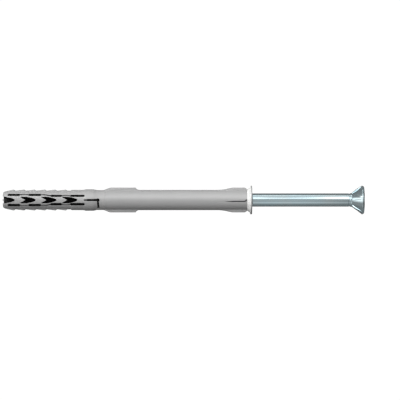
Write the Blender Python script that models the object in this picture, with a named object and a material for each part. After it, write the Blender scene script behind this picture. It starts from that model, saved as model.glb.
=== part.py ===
"""Long shaft frame plug: a slotted nylon sleeve with its countersunk screw pushed part way in.

The plug lies along X, the sleeve's tip towards -X and the screw's head towards +X. The origin is on the
common axis, half way along the overall length. The arrow windows face +Z and the ribs stand at +Y and -Y.
The sleeve is drawn from its tip and the screw from the face of its head, each along its own X axis.
"""

import math

import bmesh
import bpy
from mathutils import Matrix

MM = 0.001
FULL_TURN = 2.0 * math.pi
HALF_TURN = math.pi
QUARTER_TURN = HALF_TURN / 2.0

# Facets of the round forms, and how far a cutter reaches past what it cuts. The rim has fewer and wider flats
# than the rest, so that the plug lies still on one of them.
ROUND_SIDES = 32
RIM_SIDES = 16
ARC_STEPS = 4
CUT_MARGIN = 1.0 * MM

# Screw, across. The part that carries the thread is left plain, at the size of the blank it is rolled from.
THREAD_RADIUS = 3.5 * MM
BLANK_DEPTH = 0.6 * MM
SHANK_STEP = 0.3 * MM
BLANK_RADIUS = THREAD_RADIUS - BLANK_DEPTH
SHANK_RADIUS = THREAD_RADIUS - SHANK_STEP
HEAD_RADIUS = 6.95 * MM

# Screw, along
SCREW_OVERREACH = 5.0 * MM
THREAD_LENGTH = 62.0 * MM
POINT_LENGTH = 7.0 * MM
POINT_FLAT_RADIUS = 0.3 * MM
SHANK_SHOULDER_LENGTH = 0.9 * MM
UNDERHEAD_LENGTH = 6.8 * MM
UNDERHEAD_HOLLOW = 1.75
UNDERHEAD_STEPS = 6
HEAD_EDGE_LAND = 1.3 * MM
HEAD_EDGE_ROUND = 0.3 * MM
HEAD_RIB_COUNT = 5
HEAD_RIB_WIDTH = 1.25 * MM
HEAD_RIB_PHASE = math.radians(-10.0)
HEAD_RIB_SINK = 0.2 * MM

# Drive recess, a six-lobe socket
RECESS_RADIUS = 3.375 * MM
LOBE_COUNT = 6
LOBE_DEPTH = 0.95 * MM
LOBE_TIP_RADIUS = 0.55 * MM
RECESS_DEPTH = 3.4 * MM
RECESS_MOUTH_CHAMFER = 0.18 * MM
RECESS_MOUTH_DEPTH = 0.5 * MM
RECESS_FLOOR_CONE = 1.0 * MM

# Sleeve, across
THREAD_CLEARANCE = 0.3 * MM
SHAFT_WALL = 1.1 * MM
SHAFT_BORE_RADIUS = THREAD_RADIUS + THREAD_CLEARANCE
SHAFT_RADIUS = SHAFT_BORE_RADIUS + SHAFT_WALL
CORE_BORE_RADIUS = 2.1 * MM
ZONE_STEP = 0.35 * MM
ZONE_RADIUS = SHAFT_RADIUS - ZONE_STEP
BULGE_HEIGHT = 0.3 * MM
NECK_DEPTH = 0.08 * MM

# Sleeve, arrow windows on the front and, about half a pitch on, on the back. Those on the back sit a little
# nearer to the tip and are shorter, so that no window lies behind another.
ARROW_PITCH = 10.03 * MM
ARROW_COUNT = 4
BACK_ARROW_COUNT = 3
BACK_ARROW_SETBACK = 0.95 * MM
BACK_ARROW_TRIM = 1.9 * MM
FIRST_ARROW_POINT = 5.85 * MM
ARROW_LENGTH = 7.3 * MM
ARROW_HALF_WIDTH = 1.55 * MM
ARROW_SHOULDER = 3.9 * MM
ARROW_NOTCH = 4.9 * MM
ARROW_POINT_RADIUS = 0.5 * MM
ARROW_PRONG_WIDTH = 0.36 * MM
TONGUE_TIP_RADIUS = 0.22 * MM
WINDOW_FLOOR = 0.3 * MM

# Sleeve, slots beside the arrow strip. The first one where the strip is narrow begins a little later.
SIDE_SLOT_FIRST = 2.35 * MM
SIDE_SLOT_LENGTH = 6.1 * MM
LAST_SIDE_SLOT_LENGTH = 7.05 * MM
NARROW_STRIP_DELAY = 0.6 * MM
SIDE_SLOT_WIDTH = 0.8 * MM
SIDE_SLOT_FLOOR = 1.6 * MM
WIDE_STRIP_HALF = 2.6 * MM
NARROW_STRIP_HALF = 2.05 * MM
WIDE_STRIP_SLOTS = 2

# Sleeve, the shallow groove that joins each of these slots to the next, bowed away from the strip
SEAM_WIDTH = 0.45 * MM
SEAM_DEPTH = 0.5 * MM
SEAM_BOW = 0.35 * MM

# Sleeve, nose
NOSE_RADIUS = 3.6 * MM
NOSE_ROUND = 0.35 * MM
NOSE_LENGTH = 3.4 * MM
NOSE_SHOULDER = 0.9 * MM
NOSE_SHOULDER_DROP = 0.45 * MM
NOSE_RING_SETBACK = 0.25 * MM
NOSE_RING_LENGTH = 1.2 * MM
NOSE_RING_WALL = 0.65 * MM

# Sleeve, barbs and ribs, which share one width and stand at +Y and -Y
RIDGE_WIDTH = 3.4 * MM
RIDGE_SINK = 0.5 * MM
BARB_COUNT = 6
BARB_PITCH = ARROW_PITCH / 2.0
FIRST_BARB_CREST = 5.1 * MM
BARB_HEIGHT = 0.5 * MM
BARB_TROUGH_SINK = 0.05 * MM
BARB_BACK_LENGTH = 0.8 * MM
BARB_ZONE_TAIL = 2.4 * MM
RIB_HEIGHT = 1.08 * MM
FRONT_RIB_RAMP = 3.1 * MM
FRONT_RIB_LENGTH = 15.6 * MM
FRONT_RIB_FILLET = 1.5 * MM
FRONT_RIB_FILLET_HEIGHT = 0.35 * MM
FRONT_RIB_BACK = 0.4 * MM
RIM_RIB_RAMP = 6.8 * MM
RIM_RIB_LENGTH = 14.0 * MM
RIM_RIB_ROUND = 1.5 * MM

# Sleeve, bulge, neck and the bent slit on the front
BULGE_SLOT_OVERLAP = 0.45 * MM
BULGE_LENGTH = 5.8 * MM
BULGE_RAMP = 0.5 * MM
BULGE_STEP = 0.25 * MM
NECK_LENGTH = 4.1 * MM
NECK_RAMP = 0.6 * MM
SLIT_WIDTH = 0.9 * MM
SLIT_ENTRY_WIDTH = 0.5 * MM
SLIT_ENTRY_LENGTH = 1.4 * MM
SLIT_ACROSS_WIDTH = 0.85 * MM
SLIT_SLANT = 0.25 * MM
SLIT_PAST_BULGE = 1.0 * MM
SLIT_KNOB_RADIUS = 0.7 * MM
SLIT_SWEEP = math.radians(58.0)
SLIT_SWEEP_STEPS = 8

# Sleeve, rim
RIM_THICKNESS = 1.0 * MM
RIM_OVERHANG = 2.0 * MM
RIM_EDGE_ROUND = 0.2 * MM
FLARE_LENGTH = 1.4 * MM
FLARE_FOOT_HEIGHT = 0.35 * MM
FLARE_HEIGHT = 1.1 * MM
FLARE_LAND = 0.4 * MM
MOUTH_RADIUS = 5.6 * MM

# Sleeve, the narrow groove that runs up to the rim, just below the middle line
RIM_GROOVE_WIDTH = 0.45 * MM
RIM_GROOVE_DEPTH = 0.7 * MM
RIM_GROOVE_DROP = 0.65 * MM
RIM_GROOVE_LENGTH = 11.1 * MM
RIM_GROOVE_HOOK = 1.2 * MM
RIM_GROOVE_HOOK_RISE = 0.6 * MM

# Places along the sleeve, worked out from the sizes above
SLEEVE_LENGTH = 120.0 * MM
SCREW_LENGTH = SLEEVE_LENGTH + SCREW_OVERREACH
LAST_SIDE_SLOT = SIDE_SLOT_FIRST + (ARROW_COUNT - 1) * ARROW_PITCH
BULGE_START = LAST_SIDE_SLOT + LAST_SIDE_SLOT_LENGTH - BULGE_SLOT_OVERLAP
BULGE_END = BULGE_START + BULGE_LENGTH
ZONE_LENGTH = BULGE_END + NECK_LENGTH
LAST_BARB_CREST = FIRST_BARB_CREST + (BARB_COUNT - 1) * BARB_PITCH
RIM_UNDERSIDE = SLEEVE_LENGTH - RIM_THICKNESS
SHAFT_END = RIM_UNDERSIDE - FLARE_LENGTH
RIM_RADIUS = SHAFT_RADIUS + RIM_OVERHANG
SLIT_ACROSS_PLACE = BULGE_END + SLIT_PAST_BULGE

# The screw's point waits at the end of the expansion zone, so this is how far the head stands out
HEAD_FACE_FROM_TIP = ZONE_LENGTH + SCREW_LENGTH
MIDDLE_FROM_TIP = HEAD_FACE_FROM_TIP / 2.0


def remove_everything():
    """Empties the scene."""
    for item in list(bpy.data.objects):
        bpy.data.objects.remove(item, do_unlink=True)


def surface(name, colour, roughness, metallic=0.0):
    """A plain finish."""
    material = bpy.data.materials.new(name)
    material.use_nodes = True
    shader = material.node_tree.nodes["Principled BSDF"]
    shader.inputs["Base Color"].default_value = (*colour, 1.0)
    shader.inputs["Roughness"].default_value = roughness
    shader.inputs["Metallic"].default_value = metallic
    return material


def as_object(name, shape):
    """Turns a bmesh into an object, with its faces pointing out."""
    bmesh.ops.recalc_face_normals(shape, faces=shape.faces)
    mesh = bpy.data.meshes.new(name)
    shape.to_mesh(mesh)
    shape.free()
    item = bpy.data.objects.new(name, mesh)
    bpy.context.scene.collection.objects.link(item)
    return item


def turn_outline(shape, outline, sweep=FULL_TURN, steps=ROUND_SIDES, advance=0.0):
    """Turns a closed outline of (x, radius) points about the X axis, all the way or over a part of a turn.

    A whole turn has flats, not corners, at the four quarters, and its polygon has the true circle's area.
    A part of a turn starts at +Z, grows towards -Y and can also advance along X.
    """
    whole = sweep >= FULL_TURN
    step = sweep / steps
    fit = math.sqrt(step / math.sin(step)) if whole else 1.0
    corners = [shape.verts.new((x, 0.0, radius * fit)) for x, radius in outline]
    face = shape.faces.new(corners)
    start = Matrix.Rotation(step / 2.0 if whole else 0.0, 3, "X")
    bmesh.ops.rotate(shape, verts=corners, cent=(0, 0, 0), matrix=start)
    if whole:
        edges = list(face.edges)
        bmesh.ops.delete(shape, geom=[face], context="FACES_ONLY")
        geometry = corners + edges
    else:
        geometry = corners + list(face.edges) + [face]
    bmesh.ops.spin(
        shape,
        geom=geometry,
        axis=(1, 0, 0),
        cent=(0, 0, 0),
        dvec=(advance / steps, 0.0, 0.0),
        angle=sweep,
        steps=steps,
        use_merge=whole,
    )


def turned(name, *outlines, sides=ROUND_SIDES):
    """An object turned about the X axis from one or more closed outlines that don't meet."""
    shape = bmesh.new()
    for outline in outlines:
        turn_outline(shape, outline, steps=sides)
    bmesh.ops.remove_doubles(shape, verts=shape.verts, dist=0.0001 * MM)
    return as_object(name, shape)


def add_prism(shape, outline, low, high, turn=0.0):
    """Adds a prism to a bmesh: an (x, y) outline from z = low to z = high, then turned about the X axis."""
    face = shape.faces.new([shape.verts.new((x, y, low)) for x, y in outline])
    raised = bmesh.ops.extrude_face_region(shape, geom=[face])
    top = [item for item in raised["geom"] if isinstance(item, bmesh.types.BMVert)]
    bmesh.ops.translate(shape, verts=top, vec=(0.0, 0.0, high - low))
    everything = list(face.verts) + top
    bmesh.ops.rotate(shape, verts=everything, cent=(0, 0, 0), matrix=Matrix.Rotation(turn, 3, "X"))


def cutter_looks(item):
    """Marks an object as a helper that isn't part of the plug."""
    item.hide_render = True
    item.display_type = "WIRE"
    return item


def combine(target, other, operation):
    """Joins, cuts or trims the target by the other object, which becomes a helper."""
    step = target.modifiers.new(other.name, "BOOLEAN")
    step.operation = operation
    step.solver = "EXACT"
    step.object = cutter_looks(other)


def arc(centre_x, centre_y, radius, first, last, steps=ARC_STEPS):
    """Points on an arc, its ends included. Angles are in degrees from +X."""
    angles = [math.radians(first + (last - first) * step / steps) for step in range(steps + 1)]
    return [(centre_x + radius * math.cos(a), centre_y + radius * math.sin(a)) for a in angles]


def rounded_slot(first, last, middle, width):
    """Outline of a slot along X with round ends."""
    radius = width / 2.0
    return arc(last - radius, middle, radius, -90, 90) + arc(first + radius, middle, radius, 90, 270)


def sleeve_outline():
    """Outer outline of the sleeve, filled down to the axis."""
    barbed_end = LAST_BARB_CREST + BARB_ZONE_TAIL
    neck_radius = SHAFT_RADIUS - NECK_DEPTH
    bulge_radius = SHAFT_RADIUS + BULGE_HEIGHT
    return [
        (0.0, 0.0),
        (0.0, NOSE_RADIUS - NOSE_ROUND),
        (NOSE_ROUND, NOSE_RADIUS),
        (NOSE_SHOULDER, ZONE_RADIUS - NOSE_SHOULDER_DROP),
        (NOSE_LENGTH, ZONE_RADIUS),
        (barbed_end, ZONE_RADIUS),
        (barbed_end + ZONE_STEP, SHAFT_RADIUS),
        (BULGE_START, SHAFT_RADIUS),
        (BULGE_START + BULGE_RAMP, bulge_radius),
        (BULGE_END - BULGE_STEP, bulge_radius),
        (BULGE_END, neck_radius),
        (ZONE_LENGTH - NECK_RAMP, neck_radius),
        (ZONE_LENGTH, SHAFT_RADIUS),
        (RIM_UNDERSIDE, SHAFT_RADIUS),
        (RIM_UNDERSIDE, 0.0),
    ]


def rim_outline():
    """Outline of the flare and the rim, filled down to the axis."""
    return [
        (SHAFT_END, 0.0),
        (SHAFT_END, SHAFT_RADIUS + FLARE_FOOT_HEIGHT),
        (RIM_UNDERSIDE - FLARE_LAND, SHAFT_RADIUS + FLARE_HEIGHT),
        (RIM_UNDERSIDE, SHAFT_RADIUS + FLARE_HEIGHT),
        (RIM_UNDERSIDE, RIM_RADIUS - RIM_EDGE_ROUND),
        (RIM_UNDERSIDE + RIM_EDGE_ROUND, RIM_RADIUS),
        (SLEEVE_LENGTH - RIM_EDGE_ROUND, RIM_RADIUS),
        (SLEEVE_LENGTH, RIM_RADIUS - RIM_EDGE_ROUND),
        (SLEEVE_LENGTH, 0.0),
    ]


def barb_outline():
    """Saw-tooth outline: each barb rises from the tip side and drops steeply behind its crest."""
    trough = ZONE_RADIUS - BARB_TROUGH_SINK
    foot = ZONE_RADIUS - RIDGE_SINK
    first_foot = FIRST_BARB_CREST - BARB_PITCH + BARB_BACK_LENGTH + NOSE_SHOULDER
    points = [(first_foot, foot)]
    points.append((first_foot, trough - BARB_TROUGH_SINK - NOSE_SHOULDER_DROP / 2.0))
    for number in range(BARB_COUNT):
        crest = FIRST_BARB_CREST + number * BARB_PITCH
        points.append((crest, ZONE_RADIUS + BARB_HEIGHT))
        points.append((crest + BARB_BACK_LENGTH, trough))
    points.append((LAST_BARB_CREST + BARB_BACK_LENGTH, foot))
    return points


def front_rib_outline():
    """The rib behind the expansion zone: a long ramp, a level crown and a steep back with a fillet."""
    foot = SHAFT_RADIUS - RIDGE_SINK
    crown = SHAFT_RADIUS + RIB_HEIGHT
    start = ZONE_LENGTH - NECK_RAMP
    back = start + FRONT_RIB_LENGTH
    return [
        (start, foot),
        (start, SHAFT_RADIUS - NECK_DEPTH - BARB_TROUGH_SINK),
        (start + FRONT_RIB_RAMP, crown),
        (back, crown),
        (back + FRONT_RIB_BACK, SHAFT_RADIUS + FRONT_RIB_FILLET_HEIGHT),
        (back + FRONT_RIB_FILLET, SHAFT_RADIUS - BARB_TROUGH_SINK),
        (back + FRONT_RIB_FILLET, foot),
    ]


def rim_rib_outline():
    """The rib before the rim: a slow ramp, a level crown and a rounded end at the flare."""
    foot = SHAFT_RADIUS - RIDGE_SINK
    height = RIB_HEIGHT + BARB_TROUGH_SINK
    low = SHAFT_RADIUS - BARB_TROUGH_SINK
    start = SHAFT_END - RIM_RIB_LENGTH
    round_start = SHAFT_END - RIM_RIB_ROUND
    rounding = [
        (round_start + RIM_RIB_ROUND * math.sin(angle), low + height * math.cos(angle))
        for angle in (math.radians(90.0 * step / ARC_STEPS) for step in range(ARC_STEPS + 1))
    ]
    ramp = [(start, foot), (start, low), (start + RIM_RIB_RAMP, low + height)]
    return ramp + rounding + [(SHAFT_END, foot)]


def make_ridges():
    """Barbs and ribs: turned rings, trimmed by a slab to one width at +Y and at -Y."""
    ridges = turned("ridges", barb_outline(), front_rib_outline(), rim_rib_outline())
    reach = RIM_RADIUS + CUT_MARGIN
    corners = [(-CUT_MARGIN, -reach), (SLEEVE_LENGTH, -reach), (SLEEVE_LENGTH, reach), (-CUT_MARGIN, reach)]
    shape = bmesh.new()
    add_prism(shape, corners, -RIDGE_WIDTH / 2.0, RIDGE_WIDTH / 2.0)
    combine(ridges, as_object("ridge_slab", shape), "INTERSECT")
    return ridges


def arrow_outline(point, trim=0.0):
    """One arrow window: a rounded point towards the rim, and two prongs that leave a tongue between them."""
    tail = point - ARROW_LENGTH + trim
    notch = point - ARROW_NOTCH + trim
    prong_radius = ARROW_PRONG_WIDTH / 2.0
    prong_middle = ARROW_HALF_WIDTH - prong_radius
    upper = arc(point - ARROW_POINT_RADIUS, 0.0, ARROW_POINT_RADIUS, 0, 75)
    upper.append((point - ARROW_SHOULDER, ARROW_HALF_WIDTH))
    upper += arc(tail + prong_radius, prong_middle, prong_radius, 90, 270)
    upper.append((notch - TONGUE_TIP_RADIUS, TONGUE_TIP_RADIUS))
    lower = [(x, -y) for x, y in reversed(upper[1:])]
    return upper + [(notch, 0.0)] + lower


def make_windows():
    """Cutter for the arrow windows, which break through to the bore on the front and on the back."""
    shape = bmesh.new()
    top = SHAFT_RADIUS + CUT_MARGIN
    for number in range(ARROW_COUNT):
        add_prism(shape, arrow_outline(FIRST_ARROW_POINT + number * ARROW_PITCH), WINDOW_FLOOR, top)
    for number in range(BACK_ARROW_COUNT):
        point = FIRST_ARROW_POINT + (number + 0.5) * ARROW_PITCH - BACK_ARROW_SETBACK
        add_prism(shape, arrow_outline(point, BACK_ARROW_TRIM), WINDOW_FLOOR, top, HALF_TURN)
    return as_object("window_cutter", shape)


def side_slot(number):
    """First and last place along X of one slot beside the strip, and its distance from the middle line."""
    first = SIDE_SLOT_FIRST + number * ARROW_PITCH
    if number == ARROW_COUNT - 1:
        last = first + LAST_SIDE_SLOT_LENGTH
    else:
        last = first + SIDE_SLOT_LENGTH
    if number == WIDE_STRIP_SLOTS:
        first += NARROW_STRIP_DELAY
    offset = WIDE_STRIP_HALF if number < WIDE_STRIP_SLOTS else NARROW_STRIP_HALF
    return first, last, offset


def make_side_slots():
    """Cutter for the blind slots on both sides of the arrow strip, front and back."""
    shape = bmesh.new()
    for number in range(ARROW_COUNT):
        first, last, offset = side_slot(number)
        for middle in (-offset, offset):
            outline = rounded_slot(first, last, middle, SIDE_SLOT_WIDTH)
            for turn in (0.0, HALF_TURN):
                add_prism(shape, outline, SIDE_SLOT_FLOOR, SHAFT_RADIUS + CUT_MARGIN, turn)
    return as_object("side_slot_cutter", shape)


def make_seams():
    """Cutter for the shallow grooves that join the slots beside the strip."""
    shape = bmesh.new()
    half = SEAM_WIDTH / 2.0
    reach = SIDE_SLOT_WIDTH / 4.0
    for number in range(ARROW_COUNT - 1):
        _, last, offset = side_slot(number)
        first, _, next_offset = side_slot(number + 1)
        middle = (last + first) / 2.0
        crown = max(offset, next_offset) + SEAM_BOW
        floor = math.sqrt(ZONE_RADIUS**2 - crown**2) - SEAM_DEPTH
        path = [(last - reach, offset), (middle, crown), (first + reach, next_offset)]
        for side in (-1.0, 1.0):
            upper = [(x, side * y + half) for x, y in path]
            lower = [(x, side * y - half) for x, y in reversed(path)]
            for turn in (0.0, HALF_TURN):
                add_prism(shape, upper + lower, floor, SHAFT_RADIUS + CUT_MARGIN, turn)
    return as_object("seam_cutter", shape)


def slit_outline():
    """The lengthwise leg of the bent slit: a narrow entry, then a round knob where the leg across begins."""
    entry = SLIT_ENTRY_WIDTH / 2.0
    half = SLIT_WIDTH / 2.0
    widening = BULGE_START + SLIT_ENTRY_LENGTH
    lean = math.degrees(math.asin(half / SLIT_KNOB_RADIUS))
    start = arc(BULGE_START + entry, 0.0, entry, 90, 270)
    knob = arc(SLIT_ACROSS_PLACE, 0.0, SLIT_KNOB_RADIUS, lean - 180, 180 - lean, 2 * ARC_STEPS)
    lower = [(widening, -entry), (widening + entry, -half)]
    upper = [(widening + entry, half), (widening, entry)]
    return start + lower + knob + upper


def make_bent_slit():
    """Cutters for the bent slit: a leg along the bulge, and a slanting leg part way round the neck."""
    reach = SHAFT_RADIUS + BULGE_HEIGHT + CUT_MARGIN
    along = bmesh.new()
    add_prism(along, slit_outline(), WINDOW_FLOOR, reach)
    across = bmesh.new()
    low = SLIT_ACROSS_PLACE - SLIT_ACROSS_WIDTH / 2.0
    high = SLIT_ACROSS_PLACE + SLIT_ACROSS_WIDTH / 2.0
    inner = CORE_BORE_RADIUS - WINDOW_FLOOR
    section = [(low, inner), (high, inner), (high, reach), (low, reach)]
    turn_outline(across, section, SLIT_SWEEP, SLIT_SWEEP_STEPS, SLIT_SLANT)
    return as_object("slit_cutter", along), as_object("slit_across_cutter", across)


def make_rim_grooves():
    """Cutter for the narrow groove before the rim, with its hooked end, and its twin on the back."""
    shape = bmesh.new()
    half = RIM_GROOVE_WIDTH / 2.0
    start = SHAFT_END - RIM_GROOVE_LENGTH
    bend = SHAFT_END - RIM_GROOVE_HOOK
    low = -RIM_GROOVE_DROP - half
    high = -RIM_GROOVE_DROP + half
    outline = [
        (start, -RIM_GROOVE_DROP),
        (start + half, low),
        (bend + half, low),
        (SHAFT_END, low + RIM_GROOVE_HOOK_RISE),
        (SHAFT_END - half, high + RIM_GROOVE_HOOK_RISE),
        (bend, high),
        (start + half, high),
    ]
    for turn in (0.0, HALF_TURN):
        add_prism(shape, outline, SHAFT_RADIUS - RIM_GROOVE_DEPTH, SHAFT_RADIUS + CUT_MARGIN, turn)
    return as_object("rim_groove_cutter", shape)


def make_nose_ring():
    """The ring at the nose that holds the limbs and the first tongue together."""
    radius = CORE_BORE_RADIUS + NOSE_RING_WALL
    last = NOSE_RING_SETBACK + NOSE_RING_LENGTH
    outline = [(NOSE_RING_SETBACK, 0.0), (NOSE_RING_SETBACK, radius), (last, radius), (last, 0.0)]
    return turned("nose_ring", outline)


def make_bore():
    """Cutter for the bore: narrow in the expansion zone, then the seat of the point, the shaft, the mouth."""
    slope = (THREAD_RADIUS - POINT_FLAT_RADIUS) / POINT_LENGTH
    seat_back = POINT_LENGTH
    seat_front = (CORE_BORE_RADIUS - THREAD_CLEARANCE - POINT_FLAT_RADIUS) / slope
    mouth_depth = MOUTH_RADIUS - SHAFT_BORE_RADIUS
    outline = [
        (-CUT_MARGIN, 0.0),
        (-CUT_MARGIN, CORE_BORE_RADIUS),
        (ZONE_LENGTH + seat_front, CORE_BORE_RADIUS),
        (ZONE_LENGTH + seat_back, SHAFT_BORE_RADIUS),
        (SLEEVE_LENGTH - mouth_depth, SHAFT_BORE_RADIUS),
        (SLEEVE_LENGTH + CUT_MARGIN, MOUTH_RADIUS + CUT_MARGIN),
        (SLEEVE_LENGTH + CUT_MARGIN, 0.0),
    ]
    return turned("bore_cutter", outline)


def make_sleeve():
    """The moulded sleeve, placed by its tip."""
    sleeve = turned("plug_sleeve", sleeve_outline())
    along, across = make_bent_slit()
    helpers = [
        (turned("rim", rim_outline(), sides=RIM_SIDES), "UNION"),
        (make_ridges(), "UNION"),
        (make_windows(), "DIFFERENCE"),
        (make_side_slots(), "DIFFERENCE"),
        (make_seams(), "DIFFERENCE"),
        (along, "DIFFERENCE"),
        (across, "DIFFERENCE"),
        (make_rim_grooves(), "DIFFERENCE"),
        (make_nose_ring(), "UNION"),
        (make_bore(), "DIFFERENCE"),
    ]
    for helper, operation in helpers:
        combine(sleeve, helper, operation)
        helper.parent = sleeve
    bpy.data.objects["ridge_slab"].parent = sleeve
    sleeve.data.materials.append(surface("grey_nylon", (0.42, 0.42, 0.42), 0.45))
    sleeve.location.x = -MIDDLE_FROM_TIP
    return sleeve


def screw_outline():
    """Outline of the screw, from the face of the head at x = 0 to the point."""
    drop = HEAD_RADIUS - SHANK_RADIUS
    run = UNDERHEAD_LENGTH - HEAD_EDGE_LAND
    underhead = [
        (-HEAD_EDGE_LAND - run * step / UNDERHEAD_STEPS,
         SHANK_RADIUS + drop * (1.0 - step / UNDERHEAD_STEPS) ** UNDERHEAD_HOLLOW)
        for step in range(UNDERHEAD_STEPS + 1)
    ]
    shank_end = THREAD_LENGTH - SCREW_LENGTH
    return [
        (0.0, 0.0),
        (0.0, HEAD_RADIUS - HEAD_EDGE_ROUND),
        (-HEAD_EDGE_ROUND, HEAD_RADIUS),
        *underhead,
        (shank_end + SHANK_SHOULDER_LENGTH, SHANK_RADIUS),
        (shank_end, BLANK_RADIUS),
        (POINT_LENGTH - SCREW_LENGTH, BLANK_RADIUS),
        (-SCREW_LENGTH, POINT_FLAT_RADIUS),
        (-SCREW_LENGTH, 0.0),
    ]


def make_head_ribs():
    """The ribs under the head, straight along the cone where the head itself is hollow."""
    shape = bmesh.new()
    foot = SHANK_RADIUS - HEAD_RIB_SINK
    back = -HEAD_EDGE_LAND
    outline = [
        (-UNDERHEAD_LENGTH, foot),
        (back, foot),
        (back, HEAD_RADIUS - HEAD_EDGE_ROUND / 2.0),
    ]
    half = HEAD_RIB_WIDTH / 2.0
    for number in range(HEAD_RIB_COUNT):
        turn = HEAD_RIB_PHASE + FULL_TURN * number / HEAD_RIB_COUNT
        add_prism(shape, outline, -half, half, QUARTER_TURN + turn)
    return as_object("head_ribs", shape)


def lobe_outline():
    """Outline of the six-lobe socket: round tips, joined by hollow flanks that meet them smoothly."""
    waist = RECESS_RADIUS - LOBE_DEPTH
    tip_centre = RECESS_RADIUS - LOBE_TIP_RADIUS
    half_step = HALF_TURN / LOBE_COUNT
    spread = tip_centre * math.cos(half_step)
    flank_radius = (
        tip_centre**2 + waist**2 - 2.0 * spread * waist - LOBE_TIP_RADIUS**2
    ) / (2.0 * (LOBE_TIP_RADIUS - waist + spread))
    flank_centre = waist + flank_radius
    flank_x = flank_centre * math.cos(half_step)
    flank_y = flank_centre * math.sin(half_step)
    lean = math.degrees(math.atan2(flank_y, flank_x - tip_centre))
    meet = math.degrees(half_step)
    points = []
    for number in range(LOBE_COUNT):
        turn = 2.0 * half_step * number
        tip = arc(tip_centre, 0.0, LOBE_TIP_RADIUS, -lean, lean)
        flank = arc(flank_x, flank_y, flank_radius, lean + 180.0, 2.0 * meet - lean + 180.0)
        for x, y in tip + flank[1:-1]:
            points.append((x * math.cos(turn) - y * math.sin(turn), x * math.sin(turn) + y * math.cos(turn)))
    return points


def make_recess():
    """Cutters for the socket and for its chamfered mouth and coned floor."""
    shape = bmesh.new()
    add_prism(shape, lobe_outline(), -RECESS_DEPTH, CUT_MARGIN)
    for axis in "YX":
        quarter = Matrix.Rotation(QUARTER_TURN, 3, axis)
        bmesh.ops.rotate(shape, verts=shape.verts, cent=(0, 0, 0), matrix=quarter)
    waist = RECESS_RADIUS - LOBE_DEPTH
    mouth = RECESS_RADIUS + RECESS_MOUTH_CHAMFER
    slope = (mouth - waist) / RECESS_MOUTH_DEPTH
    mouth_outline = [(CUT_MARGIN, 0.0), (CUT_MARGIN, mouth + slope * CUT_MARGIN), (-mouth / slope, 0.0)]
    overlap = CUT_MARGIN / 2.0
    floor_radius = waist - RECESS_MOUTH_CHAMFER
    floor_outline = [
        (overlap - RECESS_DEPTH, 0.0),
        (overlap - RECESS_DEPTH, floor_radius),
        (-RECESS_DEPTH, floor_radius),
        (-RECESS_DEPTH - RECESS_FLOOR_CONE, 0.0),
    ]
    return as_object("recess_cutter", shape), turned("recess_ends_cutter", mouth_outline, floor_outline)


def make_screw():
    """The screw, placed by the face of its head."""
    screw = turned("countersunk_screw", screw_outline())
    socket, socket_ends = make_recess()
    helpers = [
        (make_head_ribs(), "UNION"),
        (socket, "DIFFERENCE"),
        (socket_ends, "DIFFERENCE"),
    ]
    for helper, operation in helpers:
        combine(screw, helper, operation)
        helper.parent = screw
    screw.data.materials.append(surface("zinc_plated_steel", (0.62, 0.66, 0.69), 0.28, 1.0))
    screw.location.x = HEAD_FACE_FROM_TIP - MIDDLE_FROM_TIP
    return screw


def main():
    """Builds the plug."""
    remove_everything()
    make_sleeve()
    make_screw()


main()
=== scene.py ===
"""Looks of a long shaft frame plug: a moulded nylon sleeve with its countersunk screw pushed part way in.

Both pieces are modelled along X, the sleeve from its tip and the screw from the face of its head, and are
then moved to where their CAD solids stand. All sizes are in metres.
"""

import logging
import math
from dataclasses import dataclass, field
from enum import Enum

import bpy
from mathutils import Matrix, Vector

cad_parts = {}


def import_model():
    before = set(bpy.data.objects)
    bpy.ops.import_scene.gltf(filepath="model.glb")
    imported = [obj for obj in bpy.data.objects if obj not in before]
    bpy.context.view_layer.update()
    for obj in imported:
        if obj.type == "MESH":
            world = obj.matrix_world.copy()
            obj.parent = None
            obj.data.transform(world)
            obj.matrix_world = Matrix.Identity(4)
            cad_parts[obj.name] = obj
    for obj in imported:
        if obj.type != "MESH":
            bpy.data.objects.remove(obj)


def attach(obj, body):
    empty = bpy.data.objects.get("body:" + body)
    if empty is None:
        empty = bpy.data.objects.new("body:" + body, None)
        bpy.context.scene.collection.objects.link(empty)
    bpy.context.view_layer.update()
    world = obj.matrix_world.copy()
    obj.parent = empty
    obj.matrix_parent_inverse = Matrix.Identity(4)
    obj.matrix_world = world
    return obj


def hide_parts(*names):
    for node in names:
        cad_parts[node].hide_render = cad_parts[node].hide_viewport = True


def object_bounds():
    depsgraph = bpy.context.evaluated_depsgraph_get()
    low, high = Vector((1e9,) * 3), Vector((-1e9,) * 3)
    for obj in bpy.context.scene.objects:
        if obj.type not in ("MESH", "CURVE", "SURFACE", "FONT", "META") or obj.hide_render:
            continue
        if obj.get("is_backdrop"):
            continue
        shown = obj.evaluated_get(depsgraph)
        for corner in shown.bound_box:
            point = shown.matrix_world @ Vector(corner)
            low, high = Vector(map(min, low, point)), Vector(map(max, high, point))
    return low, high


LOG = logging.getLogger("frame_plug")

# The points of an outline, the radii that soften its corners in order, and strengths of light at even steps.
Outline = list[tuple[float, float]]
Softs = tuple[float, ...]
Glow = tuple[float, ...]
Item = bpy.types.Object
Socket = bpy.types.NodeSocket
Tree = bpy.types.NodeTree

MM = 0.001
FULL_TURN = 2.0 * math.pi
HALF_TURN = math.pi
QUARTER_TURN = math.pi / 2.0

# Round forms: their facets, the turn of one facet of a softened corner, the least turn that is softened, and the
# share of an edge that the softening may take up.
TURNED_STEPS = 120
SOFT_STEP = math.radians(20.0)
LEAST_TURN = SOFT_STEP / 4.0
ROOM_SHARE = 0.48

# How far a cutter reaches past what it cuts, how near doubles lie, and the sharpest edge that is shaded smoothly.
CUT_MARGIN = 1.0 * MM
MERGE_GAP = 0.001 * MM
SMOOTH_ANGLE = math.radians(24.0)


class Way(Enum):
    """How one shape works on another."""

    JOIN = "UNION"
    CUT = "DIFFERENCE"
    TRIM = "INTERSECT"


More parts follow.
